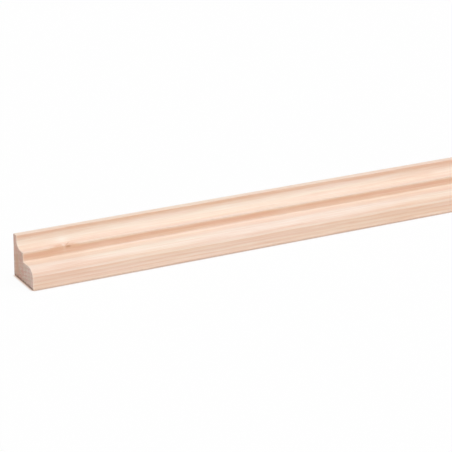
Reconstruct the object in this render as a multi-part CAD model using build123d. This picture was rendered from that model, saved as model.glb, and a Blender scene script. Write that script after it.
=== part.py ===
"""Cornice moulding: one length of planed softwood with a coved and rounded front.

The length lies along X, resting on its base. The back face is upright at +Y and the profile faces -Y.
The origin is the middle of the base.
"""

import os

from build123d import *

# Driving dimensions, in millimetres
LENGTH = 2400.0  # stock length
HEIGHT = 33.0  # base to top land
DEPTH = 35.0  # back face to foot face
TOP_LAND = 5.2  # flat top edge behind the cove
TOP_FILLET = 2.6  # upright face from the top land down to the cove
COVE_RADIUS = 7.0  # hollow quarter round
COVE_SHELF = 4.9  # flat from the cove's foot to the step
STEP_HEIGHT = 7.3  # upright face between the shelf and the ovolo's seat
STEP_FILLET = 0.8  # hollow left by the cutter between the step and the seat
SEAT_RISE = 0.35  # how far the seat climbs from the step to the ovolo's crown
OVOLO_RADIUS = 8.2  # full quarter round
ARRIS_RADIUS = 0.35  # easing of the long edges above the base
BASE_ARRIS_RADIUS = 0.8  # easing of the two long edges of the base

# Levels above the base
shelf_level = HEIGHT - TOP_FILLET - COVE_RADIUS
seat_level = shelf_level - STEP_HEIGHT
crown_level = seat_level + SEAT_RISE
foot_level = crown_level - OVOLO_RADIUS

# Depths measured forward from the back face
step_depth = TOP_LAND + COVE_RADIUS + COVE_SHELF
crown_depth = DEPTH - OVOLO_RADIUS


def ease_corners(section, places, radius):
    """Rounds the section's corners at the given (depth, height) places."""
    corners = [section.vertices().sort_by_distance(place)[0] for place in places]
    fillet(corners, radius)


def section_face():
    """The moulding's section: x is the depth forward from the back face, y the height above the base."""
    with BuildSketch() as section:
        with BuildLine():
            Polyline((TOP_LAND, HEIGHT - TOP_FILLET), (TOP_LAND, HEIGHT), (0, HEIGHT), (0, 0), (DEPTH, 0),
                     (DEPTH, foot_level))
            RadiusArc((DEPTH, foot_level), (crown_depth, crown_level), -OVOLO_RADIUS)
            Polyline((crown_depth, crown_level), (step_depth, seat_level), (step_depth, shelf_level),
                     (TOP_LAND + COVE_RADIUS, shelf_level))
            RadiusArc((TOP_LAND + COVE_RADIUS, shelf_level), (TOP_LAND, HEIGHT - TOP_FILLET), COVE_RADIUS)
        make_face()
        ease_corners(section, [(0, HEIGHT), (TOP_LAND, HEIGHT), (step_depth, shelf_level)], ARRIS_RADIUS)
        ease_corners(section, [(0, 0), (DEPTH, 0)], BASE_ARRIS_RADIUS)
        ease_corners(section, [(step_depth, seat_level)], STEP_FILLET)
    return section.sketch


def moulding():
    """The section run along X, with the back face at +Y."""
    section_plane = Plane(origin=(LENGTH / 2, DEPTH / 2, 0), x_dir=(0, -1, 0), z_dir=(-1, 0, 0))
    return extrude(section_plane * section_face(), amount=LENGTH)


os.makedirs("parts", exist_ok=True)
export_step(moulding(), "parts/cornice_moulding.step")
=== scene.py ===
"""Looks of the cornice moulding: a finely cut softwood moulding with solid grain, on a white studio floor."""

import math

import bmesh
import bpy
from mathutils import Matrix, Vector, geometry, noise


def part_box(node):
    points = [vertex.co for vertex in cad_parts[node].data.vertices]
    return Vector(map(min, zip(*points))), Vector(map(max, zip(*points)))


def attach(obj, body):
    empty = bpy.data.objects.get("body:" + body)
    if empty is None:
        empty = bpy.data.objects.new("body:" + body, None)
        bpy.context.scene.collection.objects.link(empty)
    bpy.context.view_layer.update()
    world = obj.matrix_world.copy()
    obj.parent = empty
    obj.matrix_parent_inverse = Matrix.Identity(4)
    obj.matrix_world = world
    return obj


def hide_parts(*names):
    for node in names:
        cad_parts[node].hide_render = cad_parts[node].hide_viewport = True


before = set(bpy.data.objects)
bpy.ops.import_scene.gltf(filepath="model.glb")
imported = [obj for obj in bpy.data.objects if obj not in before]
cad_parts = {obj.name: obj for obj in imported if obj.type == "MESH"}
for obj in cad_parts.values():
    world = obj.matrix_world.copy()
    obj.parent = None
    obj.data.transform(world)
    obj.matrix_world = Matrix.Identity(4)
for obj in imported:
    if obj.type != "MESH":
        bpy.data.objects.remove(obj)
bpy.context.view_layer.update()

MM = 0.001
NODE = "cornice_moulding"

# The section's own sizes, as in the part's source
TOP_LAND = 5.2 * MM
TOP_FILLET = 2.6 * MM
COVE_RADIUS = 7.0 * MM
COVE_SHELF = 4.9 * MM
STEP_HEIGHT = 7.3 * MM
STEP_FILLET = 0.8 * MM
SEAT_RISE = 0.35 * MM
OVOLO_RADIUS = 8.2 * MM
ARRIS_RADIUS = 0.35 * MM
BASE_ARRIS_RADIUS = 0.8 * MM

# The overall sizes, read from the frame
LOW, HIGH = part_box(NODE)
LENGTH = HIGH.x - LOW.x
DEPTH = HIGH.y - LOW.y
HEIGHT = HIGH.z - LOW.z
SHELF_LEVEL = HEIGHT - TOP_FILLET - COVE_RADIUS
STEP_DEPTH = TOP_LAND + COVE_RADIUS + COVE_SHELF

# How finely the mesh is cut
ARC_STEP = math.radians(6)  # turn between two points of an arc
FEWEST_ARC_STEPS = 3
SHARP_ANGLE = math.radians(35)  # edges that turn by more are shaded as edges
RUN_STEP = 1.0 * MM  # widest gap between points on the section's flats
STATION_STEP = 8.0 * MM  # gap between sections along the length
KNOT_STATION_STEP = 0.8 * MM  # the same beside the knot
END_GRID = 1.5 * MM  # spacing of the points inside a sawn end
END_GRID_CLEARANCE = 0.6 * END_GRID  # they keep this far from the outline
SAME_POINT = 0.01 * MM  # outline points closer than this are one
MERGE_GAP = 1e-7  # the same for the triangles of a sawn end, in metres

# Wear of the edges
ARRIS_WEAR = 0.12 * MM  # deepest rub on a long edge
ARRIS_WEAR_WIDTH = 0.7 * MM
ARRIS_WEAR_LENGTH = 30.0 * MM
END_BREAK = 0.3 * MM  # edges of a sawn end, broken by the sander
END_BASE_BREAK = 1.1 * MM  # breakout on the side where the saw leaves
BREAKOUT_FADE = 3.0 * MM
BREAKOUT_LENGTH = 2.5 * MM
BREAKOUT_MEAN = 0.75  # shares of the breakout: its mean and its sway
BREAKOUT_SWAY = 0.5
BREAKOUT_SEED = 0.5

# The pin knot on the edge between the cove's shelf and the step
KNOT_FROM_END = 36.2 * MM
KNOT_FORWARD = 15.5 * MM
KNOT_UP = SHELF_LEVEL
KNOT_RADIUS = 2.2 * MM
KNOT_SINK = 0.2 * MM
KNOT_REACH = 12.0 * MM  # stations are closer this far each side of it

# Marks by the knot, in millimetres: centre and half length along, then centre and half width sideways
BRANCH = (0.5, 0.87)  # forward and up, the way the knot's branch grew
BRANCH_START = (8.0, 15.0)  # it starts at these heights, inside the wood
HEART_MARK = (0.9, 1.3, 0.6, 0.9)
BARK_FOOT_MARK = (0.0, 2.0, 1.75, 0.6)
BARK_SIDE_SLANT = 0.4  # the bark's other side slants across the branch, this far from the middle
BARK_SIDE_WIDTH = 0.5
BARK_SIDE_START = (-3.4, -2.6)  # it fades in and out between these, sideways
BARK_SIDE_STOP = (1.2, 2.0)
BARK_SIDE_SHARE = 0.5  # how far it shows beside the bark under the knot
GAP_MARK = (-2.7, 1.1, -0.2, 1.5)
HALO_MARK = (-1.0, 5.0, -7.2, 2.2)
KNOT_FRAY = 0.6  # how far the fibres fray the knot's outline
HALO_SHARE = 0.65  # how far each mark colours the wood
HEART_SHARE = 0.7
BARK_SHARE = 0.8
SWERVE = 2.2  # how far the rings rise beside the knot
SWERVE_BEFORE = 11.0
SWERVE_AFTER = 8.0
SWERVE_WIDTH = 2.7

# The bake map: three rows of the length, and the two ends above them
ROW_EDGES = (0.0, 0.25, 0.625, 1.0)  # shares of the length where the rows are cut
ROW_COUNT = len(ROW_EDGES) - 1
ROW_TOLERANCE = 1e-6  # in shares of the length
ROW_HEIGHT = 0.28
MAP_GAP = 0.01
END_MAP_SIZE = 0.1  # width of a sawn end on the map
END_MAP_SCALE = END_MAP_SIZE / DEPTH
RIGHT_END_MAP = 0.5  # where the right end starts across the map

# Growth of the wood, in millimetres: the pith lies below and in front, so the front cuts each ring once
PITH_FORWARD = 54.0
PITH_UP = -129.5
STRONG_RING = 154.0  # distance from the pith of the darkest years
DARK_YEARS = (  # runs of dark years: distance out from the strong ring, half width, share of latewood
    (14.3, 1.3, 0.67),
    (11.95, 1.0, 0.16),
    (5.9, 2.2, 0.15),
    (0.4, 1.5, 0.42),
    (0.0, 2.7, 0.36),
    (-2.3, 0.75, 0.1),
    (-5.0, 0.4, 0.21),
    (-10.4, 1.5, 0.22),
    (-15.2, 3.4, 0.42),
    (-21.5, 2.9, 0.33),
)
PATCHES = (  # redder or paler wood: along, half length, distance out from the strong ring, half width, share
    (0.0, 60.0, 0.0, 40.0, 0.1),
    (30.0, 24.0, -2.9, 1.0, 0.18),
    (29.0, 5.0, 2.3, 1.0, 0.26),
    (32.0, 14.0, -7.0, 1.5, 0.16),
    (40.0, 36.0, 9.8, 1.7, 0.1),
    (50.0, 36.0, 15.4, 0.8, 0.12),
    (55.0, 36.0, -9.5, 1.0, 0.09),
    (55.0, 36.0, -12.0, 1.0, -0.1),
    (58.0, 14.0, -2.4, 2.6, -0.13),
    (124.0, 56.0, 7.2, 0.8, -0.11),
    (230.0, 165.0, -14.9, 0.7, 0.14),
    (305.0, 80.0, 4.6, 1.1, -0.08),
    (346.0, 20.0, 8.8, 1.8, 0.18),
    (372.0, 20.0, 11.2, 1.2, 0.14),
    (380.0, 12.0, 7.6, 0.9, -0.2),
    (352.0, 60.0, 0.3, 2.2, -0.09),
    (352.0, 70.0, -9.3, 1.2, 0.18),
    (352.0, 60.0, -12.0, 1.0, -0.12),
    (352.0, 60.0, 0.0, 40.0, 0.11),
    (690.0, 90.0, -8.0, 14.0, 0.1),
    (1040.0, 70.0, 9.0, 12.0, 0.12),
    (1430.0, 120.0, 0.0, 40.0, 0.09),
    (1890.0, 80.0, -12.0, 12.0, 0.12),
    (2280.0, 100.0, 6.0, 20.0, 0.1),
)
RING_WIDTH = 2.95
RING_START = 0.4  # where the rings start, in rings
LINE_RISE = (0.3, 0.9)  # a ring darkens slowly and pales at once, in shares of its width
LINE_FALL = (0.93, 1.0)
LINE_MEAN = 0.35
YEAR_SEED = 7.3
LINE_RANGE = (0.4, 0.8)  # the weakest line, and how much stronger the strongest is
INNER_LINES = 0.26  # strength of the ring lines in the inner years
OUTER_LINES = 0.06  # and in the outer ones
INNER_YEARS = (-13.0, -7.0)  # where the one turns into the other
FINE_RING = 0.95  # fine lines within the rings
FINE_LINES = 0.05
RUN_OUT = 1.5e-6  # how fast the rings leave the surface along the length
RUN_OUT_FROM = 200.0

# Streaks along the grain: size along and across in millimetres, and a seed
WAVER = (260, 40, 3.0)
RIPPLE = (45, 5, 11.0)
CLOUDS = (60, 3.5, 21.0)
FIGURE = (26, 1.7, 31.0)
FIBRES = (70, 0.6, 5.0)
FIBRE_DETAIL = 3.0
FINE_FIBRES = (23, 0.35, 9.0)
TINTS = (120, 6, 8.0)
END_MOTTLE = (3, 3, 17.0)
END_BLOTCHES = (5, 5, 27.0)
NOISE_MEAN = 0.5
TINT_RANGE = (0.35, 0.65)  # noise that turns one tint into the other
WAVER_REACH = 1.0  # how far the streaks move the rings, in millimetres
RIPPLE_REACH = 0.6
CLOUD_SHARE = 0.36  # how much latewood the streaks add to the mean share
FIGURE_SHARE = 0.42
FIBRE_SHARE = 0.6
MEAN_SHARE = 0.15

# Sawn ends, and painted shade along the lower edges, in millimetres
END_FACING = (0.6, 0.9)  # faces turn into ends while their normal's part along X goes from one to the other
END_RINGS = 0.65  # share of the rings' own colour that shows there
END_ARCS = 0.6  # how far ring lines, fine lines and fibres darken the tint
END_FINE_ARCS = 0.2
END_PORES = 0.6
END_PALING = (10.0, 30.0)  # an end grows paler between these distances from the back
MOTTLE_RANGE = (0.3, 0.7)  # noise over which the mottle and the blotches come in
BLOTCH_RANGE = (0.45, 0.65)
MOTTLE_SHARE = 0.45
BLOTCH_SHARE = 0.6
STAIN_FORWARD = 6.5  # an orange stain on the near end
STAIN_UP = 11.0
STAIN_SIZE = (2.4, 7.0)
STAIN_REACH = (1.0, 2.0)  # it dies away between these distances into the length
STAIN_SHARE = 0.8
SAW_FORWARD = -60.0  # the saw's centre and the pitch of its marks
SAW_UP = 120.0
SAW_PITCH = 1.3
SAW_DRIFT = 2.0
RIM_HEIGHT = (0.7, 2.2)  # painted shade on the lower rim of an end dies away between these
RIM_RAGGED = 1.6
BACK_RIM = (0.4, 1.8)
FOOT_HEIGHT = (0.2, 1.0)
LOWER_RIM_SHADE = 0.82  # how dark the painted shade is on the lower rim, on the back rim and along the foot
BACK_RIM_SHADE = 0.3
FOOT_SHADE = 0.06

# Rubbed long edges, a painted highlight on the edges of the ends, and roughness
RUBBED_ARRIS = 0.12  # how far the long edges take the rubbed colour, and the edges of the ends a painted highlight
END_EDGE_HIGHLIGHT = 0.35
END_HIGHLIGHT_REACH = (0.2, 1.5)  # the painted highlight dies away between these distances from an end, in millimetres
EARLY_ROUGHNESS = 0.68
LATE_ROUGHNESS = 0.55
END_ROUGHNESS = 0.15  # added on the sawn ends

# Relief of the surface
RELIEF = 0.09 * MM
LATE_RELIEF = 0.4  # shares of it
FIBRE_RELIEF = 0.6
SAW_RELIEF = 0.5

# Colours of the wood
EARLYWOOD = (0.948, 0.834, 0.725, 1)
LATEWOOD = (0.798, 0.505, 0.347, 1)
PINK_WOOD = (1.0, 0.97, 0.98, 1)
CREAM_WOOD = (1.0, 0.997, 0.98, 1)
PALE_WOOD = (0.95, 0.89, 0.8, 1)
KNOT_HEART = (0.85, 0.58, 0.42, 1)
KNOT_BARK = (0.6, 0.3, 0.17, 1)
# pale colour of rubbed long edges, also the painted highlight along the edges of the ends
WORN_AND_HIGHLIT_WOOD = (0.93, 0.82, 0.72, 1)
END_WARM = (0.915, 0.685, 0.64, 1)
END_PALE = (1.0, 0.93, 0.95, 1)
END_GREY = (0.89, 0.85, 0.8, 1)
END_STAIN = (0.9, 0.68, 0.56, 1)
# painted shade for the foot and the lower and back rims of the ends
PAINTED_EDGE_SHADE = (0.36, 0.33, 0.31, 1)

# The photograph's view, in its frame of 452 x 452 pixels
FRAME_PX = 452
FOCAL_PX = 1961.0
VIEW_AZIMUTH = math.radians(28.66)
VIEW_ELEVATION = math.radians(20.54)
VIEW_ROLL = math.radians(0.56)
CORNER_PX = Vector((14.37, 274.94))  # foot of the near end's back edge
CORNER_DISTANCE = 1.4545  # from the camera to that corner, along the view
SENSOR = 36.0

# Studio light
WHITE = (1, 1, 1, 1)
SOFTBOX_FROM = Vector((0.30, -0.36, 0.88))
SOFTBOX_SPREAD = math.radians(100)
SOFTBOX_STRENGTH = 2.62
SKY_STRENGTH = 0.2
FLOOR_HALF_WIDTH = 40.0
FLOOR_COLOUR = (0.95, 0.95, 0.95, 1)
FLOOR_GLOW = 0.95  # share of the floor's own white where it is seen directly
CONTACT_REACH = 3.2 * MM  # the glow dims this close to the wood
CONTACT_OPENNESS = (0.4, 0.95)  # it comes back while the floor's openness goes from one to the other
CONTACT_SHADE = (0.54, 0.35, 0.25, 1)


def section_corners():
    """The section's corners as (depth from the back, height, rounding), up the back and down the front."""
    seat_level = SHELF_LEVEL - STEP_HEIGHT
    crown_level = seat_level + SEAT_RISE
    crown_depth = DEPTH - OVOLO_RADIUS
    return [
        (0, 0, BASE_ARRIS_RADIUS),
        (0, HEIGHT, ARRIS_RADIUS),
        (TOP_LAND, HEIGHT, ARRIS_RADIUS),
        (TOP_LAND, SHELF_LEVEL, COVE_RADIUS),
        (STEP_DEPTH, SHELF_LEVEL, ARRIS_RADIUS),
        (STEP_DEPTH, seat_level, STEP_FILLET),
        (crown_depth, crown_level, 0),
        (DEPTH, crown_level, OVOLO_RADIUS),
        (DEPTH, 0, BASE_ARRIS_RADIUS),
    ]


def rounded_corner(before, corner, after, radius):
    """Points of the arc that rounds a corner, or the corner itself."""
    if radius == 0:
        return [corner]
    inward = (before - corner).normalized()
    onward = (after - corner).normalized()
    half_angle = inward.angle(onward) / 2
    bisector = (inward + onward).normalized()
    centre = corner + bisector * (radius / math.sin(half_angle))
    start = corner + inward * (radius / math.tan(half_angle)) - centre
    finish = corner + onward * (radius / math.tan(half_angle)) - centre
    turn = start.angle_signed(finish)
    steps = max(FEWEST_ARC_STEPS, round(abs(turn) / ARC_STEP))
    return [centre + Matrix.Rotation(-turn * i / steps, 2) @ start for i in range(steps + 1)]


def section_outline():
    """The closed outline as evenly cut (depth, height) points, starting at the foot of the back."""
    corners = section_corners()
    sharp = []
    for i, (depth, height, radius) in enumerate(corners):
        before = Vector(corners[i - 1][:2])
        after = Vector(corners[(i + 1) % len(corners)][:2])
        for point in rounded_corner(before, Vector((depth, height)), after, radius):
            if not sharp or (point - sharp[-1]).length > SAME_POINT:
                sharp.append(point)
    outline = []
    for i, point in enumerate(sharp):
        run = sharp[(i + 1) % len(sharp)] - point
        cuts = max(1, math.ceil(run.length / RUN_STEP))
        outline.extend(point + run * k / cuts for k in range(cuts))
    return outline


def inward_directions(outline):
    """For each outline point, the direction into the wood."""
    count = len(outline)
    runs = [outline[(i + 1) % count] - outline[i - 1] for i in range(count)]
    return [Vector((run.y, -run.x)).normalized() for run in runs]


def arris_closeness(outline):
    """For each outline point, 1 on an eased long edge and 0 away from it."""
    eased = (ARRIS_RADIUS, BASE_ARRIS_RADIUS)
    arrises = [Vector((depth, height)) for depth, height, radius in section_corners() if radius in eased]
    gaps = [min((point - arris).length for arris in arrises) for point in outline]
    return [math.exp(-(gap / ARRIS_WEAR_WIDTH) ** 2) for gap in gaps]


def stations():
    """Places along X where the section is repeated, closer together beside the knot."""
    knot = LOW.x + KNOT_FROM_END
    stops = [LOW.x + END_BREAK, knot - KNOT_REACH, knot + KNOT_REACH]
    stops += [LOW.x + share * LENGTH for share in ROW_EDGES[1:-1]]
    stops.append(HIGH.x - END_BREAK)
    places = [LOW.x, stops[0]]
    for start, stop in zip(stops, stops[1:]):
        step = KNOT_STATION_STEP if stop == knot + KNOT_REACH else STATION_STEP
        cuts = math.ceil((stop - start) / step)
        places.extend(start + (stop - start) * (k + 1) / cuts for k in range(cuts))
    places.append(HIGH.x)
    return places


def row_point(x, point):
    """A section point (depth, height) at x, in the row frame."""
    return Vector((x, HIGH.y - point.x, point.y))


def worn_ring(x, outline, inward, closeness):
    """The outline at x, rubbed along its eased edges, sunk at the knot and broken at the sawn ends."""
    at_end = x in (LOW.x, HIGH.x)
    ring = []
    for point, into, close in zip(outline, inward, closeness):
        along = Vector((x / ARRIS_WEAR_LENGTH, point.x / MM, point.y / MM))
        rub = ARRIS_WEAR * close * max(0.0, noise.noise(along))
        gap = Vector((x - LOW.x - KNOT_FROM_END, point.x - KNOT_FORWARD, point.y - KNOT_UP)).length
        sink = KNOT_SINK * math.exp(-(gap / KNOT_RADIUS) ** 2)
        worn = point + into * (rub + sink)
        if at_end:
            worn += into * END_BREAK
            fade = max(0.0, 1 - point.y / BREAKOUT_FADE)
            sway = noise.noise(Vector((point.x / BREAKOUT_LENGTH, x, BREAKOUT_SEED)))
            ragged = BREAKOUT_MEAN + BREAKOUT_SWAY * sway
            worn.y += END_BASE_BREAK * fade ** 2 * ragged
        ring.append(worn)
    return ring


def end_triangles(outline):
    """A sawn end's points and triangles: the outline first, then a grid of points inside it."""
    grid = []
    edges = [(i, (i + 1) % len(outline)) for i in range(len(outline))]
    for row in range(1, int(HEIGHT / END_GRID)):
        for column in range(1, int(DEPTH / END_GRID)):
            point = Vector((column * END_GRID, row * END_GRID))
            gap = min((point - other).length for other in outline)
            if gap > END_GRID_CLEARANCE:
                grid.append(point)
    points, _, faces, *_ = geometry.delaunay_2d_cdt(outline + grid, edges, [], 1, MERGE_GAP)
    return points, faces


def along_map(x, row):
    """Where x lies across the bake map, in its row of the length."""
    share = (x - LOW.x) / LENGTH
    start, stop = ROW_EDGES[row:row + 2]
    return MAP_GAP + (1 - 2 * MAP_GAP) * (share - start) / (stop - start)


def map_row(x):
    """The row of the bake map that holds the mesh just beyond x."""
    share = (x - LOW.x) / LENGTH
    return max(row for row in range(ROW_COUNT) if share > ROW_EDGES[row] - ROW_TOLERANCE)


def girth_map(outline):
    """Each outline point's distance round the section, as a share of the whole, closed by 1."""
    distances = [0.0]
    for here, onward in zip(outline, outline[1:] + outline[:1]):
        distances.append(distances[-1] + (onward - here).length)
    return [distance / distances[-1] for distance in distances]


def add_sides(bm, rings, places, girth, bake_map):
    """The long faces between neighbouring rings, each in its place on the bake map."""
    count = len(rings[0])
    for k in range(len(places) - 1):
        row = map_row(places[k])
        base = MAP_GAP + row * (ROW_HEIGHT + MAP_GAP)
        left = along_map(places[k], row)
        right = along_map(places[k + 1], row)
        for i in range(count):
            j = (i + 1) % count
            face = bm.faces.new((rings[k][i], rings[k][j], rings[k + 1][j], rings[k + 1][i]))
            face.smooth = True
            low = base + ROW_HEIGHT * girth[i]
            high = base + ROW_HEIGHT * girth[i + 1]
            corners = ((left, low), (left, high), (right, high), (right, low))
            for loop, corner in zip(face.loops, corners):
                loop[bake_map].uv = corner


def add_end(bm, ring, section, x, map_corner, bake_map):
    """A sawn end that closes a ring, with its place on the bake map."""
    points, triangles = end_triangles(section)
    inner = [bm.verts.new(row_point(x, point)) for point in points[len(section):]]
    vertices = ring + inner
    for triangle in triangles:
        face = bm.faces.new([vertices[index] for index in triangle])
        for loop, index in zip(face.loops, triangle):
            loop[bake_map].uv = map_corner + points[index] * END_MAP_SCALE


def moulding_mesh():
    """The moulding's mesh: worn sections joined along X, closed by a sawn end at each side."""
    outline = section_outline()
    inward = inward_directions(outline)
    closeness = arris_closeness(outline)
    places = stations()
    bm = bmesh.new()
    bake_map = bm.loops.layers.uv.new("OFBake")
    arris = bm.verts.layers.float.new("arris")
    sections = [worn_ring(x, outline, inward, closeness) for x in places]
    rings = [[bm.verts.new(row_point(x, point)) for point in section] for x, section in zip(places, sections)]
    for ring in rings:
        for vertex, close in zip(ring, closeness):
            vertex[arris] = close
    add_sides(bm, rings, places, girth_map(outline), bake_map)
    ends_base = ROW_COUNT * (ROW_HEIGHT + MAP_GAP) + 2 * MAP_GAP
    add_end(bm, rings[0], sections[0], LOW.x, Vector((MAP_GAP, ends_base)), bake_map)
    add_end(bm, rings[-1], sections[-1], HIGH.x, Vector((RIGHT_END_MAP, ends_base)), bake_map)
    bmesh.ops.recalc_face_normals(bm, faces=bm.faces)
    mesh = bpy.data.meshes.new("moulding")
    bm.to_mesh(mesh)
    bm.free()
    mesh.set_sharp_from_angle(angle=SHARP_ANGLE)
    return mesh


def make_camera():
    """The photograph's camera: turned, raised and rolled, with the near corner at its own pixel."""
    across = Vector((math.cos(VIEW_AZIMUTH), -math.sin(VIEW_AZIMUTH), 0))
    flat = Vector((math.sin(VIEW_AZIMUTH), math.cos(VIEW_AZIMUTH), 0))
    ahead = flat * math.cos(VIEW_ELEVATION) - Vector((0, 0, math.sin(VIEW_ELEVATION)))
    upward = flat * math.sin(VIEW_ELEVATION) + Vector((0, 0, math.cos(VIEW_ELEVATION)))
    right = across * math.cos(VIEW_ROLL) + upward * math.sin(VIEW_ROLL)
    top = upward * math.cos(VIEW_ROLL) - across * math.sin(VIEW_ROLL)
    offset = (CORNER_PX - Vector((FRAME_PX / 2, FRAME_PX / 2))) * CORNER_DISTANCE / FOCAL_PX
    corner = Vector((LOW.x, HIGH.y, LOW.z))
    place = corner - ahead * CORNER_DISTANCE - right * offset.x + top * offset.y
    data = bpy.data.cameras.new("camera")
    data.sensor_width = SENSOR
    data.lens = FOCAL_PX / FRAME_PX * SENSOR
    camera = bpy.data.objects.new("camera", data)
    turn = Matrix((right, top, -ahead)).transposed().to_4x4()
    camera.matrix_world = Matrix.Translation(place) @ turn
    bpy.context.collection.objects.link(camera)
    bpy.context.scene.camera = camera


def add_node(tree, kind, inputs=None, **settings):
    """A shader node with its settings, and its inputs set to values or linked to sockets and fields."""
    node = tree.nodes.new("ShaderNode" + kind)
    for name, value in settings.items():
        setattr(node, name, value)
    for key, value in (inputs or {}).items():
        if isinstance(value, Field):
            value = value.socket
        if isinstance(value, bpy.types.NodeSocket):
            tree.links.new(value, node.inputs[key])
        else:
            node.inputs[key].default_value = value
    return node


class Field:
    """A value that varies over a surface: a shader socket that takes plain arithmetic."""

    def __init__(self, tree, socket):
        self.tree = tree
        self.socket = socket

    def math(self, operation, *others):
        """The result of a Math node on this value and the others."""
        inputs = dict(enumerate((self, *others)))
        return Field(self.tree, add_node(self.tree, "Math", inputs, operation=operation).outputs[0])

    def __add__(self, other):
        return self.math("ADD", other)

    def __sub__(self, other):
        return self.math("SUBTRACT", other)

    def __mul__(self, other):
        return self.math("MULTIPLY", other)

    def __truediv__(self, other):
        return self.math("DIVIDE", other)

    def ramp(self, start, stop, low=0.0, high=1.0):
        """A smooth change from low to high while the value goes from start to stop."""
        inputs = {"Value": self, "From Min": start, "From Max": stop, "To Min": low, "To Max": high}
        node = add_node(self.tree, "MapRange", inputs, interpolation_type="SMOOTHSTEP")
        return Field(self.tree, node.outputs[0])

    def bell(self, half_width):
        """1 at zero, falling away on both sides and halved at half_width."""
        ratio = self / half_width
        return (ratio * ratio + 1.0).math("POWER", -1.0)

    def band(self, half_width):
        """1 in the middle of a band, halved at half_width and soon gone beyond it."""
        ratio = self / half_width
        square = ratio * ratio
        return (square * square + 1.0).math("POWER", -1.0)


def mixed(tree, share, colour, other, blend="MIX"):
    """One colour turned into another by a share, or multiplied by it."""
    node = add_node(tree, "Mix", {"Factor": share}, data_type="RGBA", blend_type=blend)
    slots = {slot.identifier: slot for slot in node.inputs}
    for name, value in (("A_Color", colour), ("B_Color", other)):
        if isinstance(value, bpy.types.NodeSocket):
            tree.links.new(value, slots[name])
        else:
            slots[name].default_value = value
    return next(slot for slot in node.outputs if slot.identifier == "Result_Color")


def seen_directly(tree):
    """1 for rays that show the background: straight from the camera, mirrored or through glass."""
    path = add_node(tree, "LightPath").outputs
    mirrored = Field(tree, path["Is Glossy Ray"]).math("MAXIMUM", path["Is Transmission Ray"])
    return mirrored.math("MAXIMUM", path["Is Camera Ray"])


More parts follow.
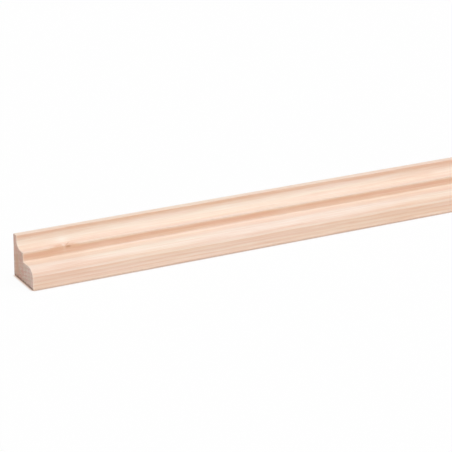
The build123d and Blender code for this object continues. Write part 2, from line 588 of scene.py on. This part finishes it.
class Grain:
    """The wood's own frame, in millimetres, and what grows in it."""

    def __init__(self, tree):
        self.tree = tree
        coordinates = add_node(tree, "TexCoord").outputs
        self.place = coordinates["Object"]
        axes = add_node(tree, "SeparateXYZ", {0: self.place}).outputs
        self.along = Field(tree, axes["X"]) * (1 / MM) - LOW.x / MM
        self.forward = Field(tree, axes["Y"]) * (-1 / MM) + HIGH.y / MM
        self.up = Field(tree, axes["Z"]) * (1 / MM)
        facing = add_node(tree, "SeparateXYZ", {0: coordinates["Normal"]}).outputs
        self.end = Field(tree, facing["X"]).math("ABSOLUTE").ramp(*END_FACING)
        self.fibre = self.streaks(*FIBRES, detail=FIBRE_DETAIL) + self.streaks(*FINE_FIBRES) - 2 * NOISE_MEAN
        self.figure = self.streaks(*FIGURE) - NOISE_MEAN
        self.end_gap = self.along.math("MINIMUM", self.along * -1.0 + LENGTH / MM)
        self.branch = self.up.ramp(*BRANCH_START)
        self.out = self.outward()
        self.lines = self.ring_lines()
        self.fine = (self.out * (2 * math.pi / FINE_RING)).math("SINE")

    def streaks(self, along, across, seed, detail=2.0):
        """Noise from 0 to 1 drawn out along the grain: its size along and across, in millimetres."""
        scale = (1 / (along * MM), 1 / (across * MM), 1 / (across * MM))
        inputs = {0: self.place, 1: scale, 2: (seed, 0, 0)}
        moved = add_node(self.tree, "VectorMath", inputs, operation="MULTIPLY_ADD").outputs[0]
        node = add_node(self.tree, "TexNoise", {"Vector": moved, "Scale": 1.0, "Detail": detail})
        return Field(self.tree, node.outputs["Fac"])

    def knot_gap(self):
        """How far a point lies along the length from the knot, and sideways from the branch's own line."""
        along = self.along - KNOT_FROM_END / MM
        sideways = (self.forward - KNOT_FORWARD / MM) * BRANCH[1] - (self.up - KNOT_UP / MM) * BRANCH[0]
        return along, sideways

    def mark(self, shape, soft=False):
        """1 in a mark by the knot, with crisp or soft edges."""
        along, half_length, sideways, half_width = shape
        gap_along, gap_sideways = self.knot_gap()
        gap_along = gap_along - along
        gap_sideways = gap_sideways - sideways
        if soft:
            return gap_along.bell(half_length) * gap_sideways.bell(half_width) * self.branch
        frayed = gap_along + self.fibre * KNOT_FRAY
        return frayed.band(half_length) * gap_sideways.band(half_width) * self.branch

    def bark(self):
        """1 in the bark round the knot: under it, and on one side."""
        along, sideways = self.knot_gap()
        slant = along + sideways + self.fibre * KNOT_FRAY + BARK_SIDE_SLANT
        reach = sideways.ramp(*BARK_SIDE_START) * sideways.ramp(*BARK_SIDE_STOP, BARK_SIDE_SHARE, 0.0)
        side = slant.band(BARK_SIDE_WIDTH) * reach * self.branch
        return side.math("MAXIMUM", self.mark(BARK_FOOT_MARK))

    def halo(self):
        """1 in the pale wood beside the knot."""
        return self.mark(GAP_MARK, soft=True).math("MAXIMUM", self.mark(HALO_MARK, soft=True))

    def outward(self):
        """Distance out from the strong ring, with the grain's waver, run-out and swerve round the knot."""
        forward = self.forward - PITH_FORWARD
        up = self.up - PITH_UP
        distance = (forward * forward + up * up).math("SQRT") - STRONG_RING
        waver = (self.streaks(*WAVER) - NOISE_MEAN) * WAVER_REACH
        waver = waver + (self.streaks(*RIPPLE) - NOISE_MEAN) * RIPPLE_REACH
        leaning = self.along - RUN_OUT_FROM
        run_out = leaning * leaning * RUN_OUT
        along, sideways = self.knot_gap()
        before = along.math("MINIMUM", 0.0).band(SWERVE_BEFORE)
        after = along.math("MAXIMUM", 0.0).band(SWERVE_AFTER)
        swerve = before * after * sideways.band(SWERVE_WIDTH) * self.branch * SWERVE
        return distance + waver + run_out - swerve

    def ring_lines(self):
        """The dark line of each year, some strong and some weak, with a mean of about 0."""
        rings = self.out / RING_WIDTH + RING_START
        phase = rings.math("FRACT")
        inputs = {"W": rings.math("FLOOR") + YEAR_SEED}
        year = add_node(self.tree, "TexWhiteNoise", inputs, noise_dimensions="1D")
        weakest, spread = LINE_RANGE
        strength = Field(self.tree, year.outputs["Value"]) * spread + weakest
        return (phase.ramp(*LINE_RISE) * phase.ramp(*LINE_FALL, 1.0, 0.0) - LINE_MEAN) * strength

    def latewood(self):
        """How much of the dark latewood shows: runs of dark years, redder patches, ring lines and fibres."""
        late = (self.streaks(*CLOUDS) - NOISE_MEAN) * CLOUD_SHARE
        late = late + self.figure * FIGURE_SHARE + self.fibre * FIBRE_SHARE
        for place, half_width, share in DARK_YEARS:
            late = late + (self.out - place).band(half_width) * share
        for along, half_length, place, half_width, share in PATCHES:
            late = late + (self.along - along).band(half_length) * (self.out - place).band(half_width) * share
        late = late + self.lines * self.out.ramp(*INNER_YEARS, INNER_LINES, OUTER_LINES)
        return late + self.fine * FINE_LINES + MEAN_SHARE


def end_tint(tree, grain):
    """The darkening of a sawn end: warm at the back, paler at the foot, with ring arcs, pores and a stain."""
    mottle = grain.streaks(*END_MOTTLE).ramp(*MOTTLE_RANGE, -MOTTLE_SHARE, MOTTLE_SHARE)
    mottle = mottle + grain.fibre * END_PORES
    arcs = grain.lines * END_ARCS + grain.fine * END_FINE_ARCS
    tint = mixed(tree, grain.forward.ramp(*END_PALING) + mottle - arcs, END_WARM, END_PALE)
    blotches = grain.streaks(*END_BLOTCHES).ramp(*BLOTCH_RANGE, 0.0, BLOTCH_SHARE)
    tint = mixed(tree, blotches, tint, END_GREY)
    stain_depth, stain_height = STAIN_SIZE
    stain = (grain.forward - STAIN_FORWARD).band(stain_depth) * (grain.up - STAIN_UP).band(stain_height)
    near_end = grain.along.ramp(*STAIN_REACH, STAIN_SHARE, 0.0)
    return mixed(tree, stain * near_end, tint, END_STAIN)


def painted_edge_shade(grain):
    """Painted shade along the foot, and on the lower and back rims of the ends, where the wood meets the
    floor or faces away from the lamp.
    """
    foot = grain.up.ramp(*FOOT_HEIGHT, FOOT_SHADE, 0.0)
    ragged = grain.up + (grain.streaks(*END_MOTTLE) - NOISE_MEAN) * RIM_RAGGED
    lower_rim = ragged.ramp(*RIM_HEIGHT, LOWER_RIM_SHADE, 0.0)
    rim = lower_rim.math("MAXIMUM", grain.forward.ramp(*BACK_RIM, BACK_RIM_SHADE, 0.0))
    return foot.math("MAXIMUM", rim * grain.end)


def wood_colour(tree, grain, late):
    """The colour of the planed faces and the sawn ends."""
    colour = mixed(tree, late * grain.end.ramp(0.0, 1.0, 1.0, END_RINGS), EARLYWOOD, LATEWOOD)
    tint = mixed(tree, grain.streaks(*TINTS).ramp(*TINT_RANGE), PINK_WOOD, CREAM_WOOD)
    colour = mixed(tree, 1.0, colour, tint, "MULTIPLY")
    colour = mixed(tree, grain.halo() * HALO_SHARE, colour, PALE_WOOD)
    colour = mixed(tree, grain.mark(HEART_MARK, soft=True) * HEART_SHARE, colour, KNOT_HEART)
    colour = mixed(tree, grain.bark() * BARK_SHARE, colour, KNOT_BARK)
    arris = Field(tree, add_node(tree, "Attribute", attribute_name="arris").outputs["Fac"])
    # a painted highlight along the edges of the ends, and real rubbing on the long edges
    end_highlight = grain.end_gap.ramp(*END_HIGHLIGHT_REACH, END_EDGE_HIGHLIGHT, 0.0)
    rubbed = (arris * RUBBED_ARRIS).math("MAXIMUM", end_highlight)
    colour = mixed(tree, rubbed, colour, WORN_AND_HIGHLIT_WOOD)
    colour = mixed(tree, grain.end, colour, end_tint(tree, grain), "MULTIPLY")
    # the foot and the ends' lower and back rims are darkened: painted shade
    return mixed(tree, painted_edge_shade(grain), colour, PAINTED_EDGE_SHADE, "MULTIPLY")


def saw_marks(grain):
    """The saw's arcs across a sawn end."""
    forward = grain.forward - SAW_FORWARD
    up = grain.up - SAW_UP
    radius = (forward * forward + up * up).math("SQRT") + grain.figure * SAW_DRIFT
    return (radius * (2 * math.pi / SAW_PITCH)).math("SINE")


def wood_material():
    """Planed softwood: growth rings through the solid, fibres, a pin knot, rubbed edges and sawn ends, with
    painted shade on the foot and the ends' lower rims and a painted highlight on the ends' edges.
    """
    material = bpy.data.materials.new("planed_softwood")
    material.use_nodes = True
    tree = material.node_tree
    grain = Grain(tree)
    late = grain.latewood()
    shader = tree.nodes["Principled BSDF"]
    tree.links.new(wood_colour(tree, grain, late), shader.inputs["Base Color"])
    roughness = late.ramp(0.0, 1.0, EARLY_ROUGHNESS, LATE_ROUGHNESS) + grain.end * END_ROUGHNESS
    tree.links.new(roughness.socket, shader.inputs["Roughness"])
    relief = late * LATE_RELIEF + grain.fibre * FIBRE_RELIEF + grain.figure
    relief = relief + saw_marks(grain) * grain.end * SAW_RELIEF
    bump = add_node(tree, "Bump", {"Height": relief, "Distance": RELIEF, "Strength": 1.0})
    tree.links.new(bump.outputs[0], shader.inputs["Normal"])
    return material


def make_lights():
    """One wide soft lamp overhead, a little to the front and right, and a dim even sky that looks white."""
    lamp = bpy.data.lights.new("softbox", "SUN")
    lamp.angle = SOFTBOX_SPREAD
    lamp.energy = SOFTBOX_STRENGTH
    softbox = bpy.data.objects.new("softbox", lamp)
    softbox.rotation_euler = SOFTBOX_FROM.to_track_quat("Z", "Y").to_euler()
    bpy.context.collection.objects.link(softbox)
    world = bpy.data.worlds.new("studio")
    bpy.context.scene.world = world
    world.use_nodes = True
    tree = world.node_tree
    tree.nodes.clear()
    strength = seen_directly(tree).ramp(0.0, 1.0, SKY_STRENGTH, 1.0)
    sky = add_node(tree, "Background", {"Color": WHITE, "Strength": strength})
    add_node(tree, "OutputWorld", {"Surface": sky.outputs[0]})


def make_floor():
    """A wide white floor that glows where it is seen directly, but dims where it meets the wood."""
    mesh = bpy.data.meshes.new("floor")
    corners = [(-1, -1, 0), (1, -1, 0), (1, 1, 0), (-1, 1, 0)]
    mesh.from_pydata([Vector(corner) * FLOOR_HALF_WIDTH for corner in corners], [], [(0, 1, 2, 3)])
    floor = bpy.data.objects.new("floor", mesh)
    floor.location.z = LOW.z
    bpy.context.collection.objects.link(floor)
    material = bpy.data.materials.new("white_floor")
    material.use_nodes = True
    tree = material.node_tree
    tree.nodes.clear()
    paint = add_node(tree, "BsdfDiffuse", {"Color": FLOOR_COLOUR})
    nearness = add_node(tree, "AmbientOcclusion", {"Distance": CONTACT_REACH})
    openness = Field(tree, nearness.outputs["AO"]).ramp(*CONTACT_OPENNESS)
    glow = add_node(tree, "Emission", {"Color": mixed(tree, openness, CONTACT_SHADE, WHITE)})
    share = seen_directly(tree) * FLOOR_GLOW
    both = add_node(tree, "MixShader", {0: share, 1: paint.outputs[0], 2: glow.outputs[0]})
    add_node(tree, "OutputMaterial", {"Surface": both.outputs[0]})
    mesh.materials.append(material)


def make_moulding():
    """The moulding itself, which stands for the plain solid."""
    piece = bpy.data.objects.new("moulding", moulding_mesh())
    bpy.context.collection.objects.link(piece)
    piece.data.materials.append(wood_material())
    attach(piece, "root")
    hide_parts(NODE)


make_moulding()
make_floor()
make_lights()
make_camera()
bpy.context.scene.view_settings.view_transform = "Standard"
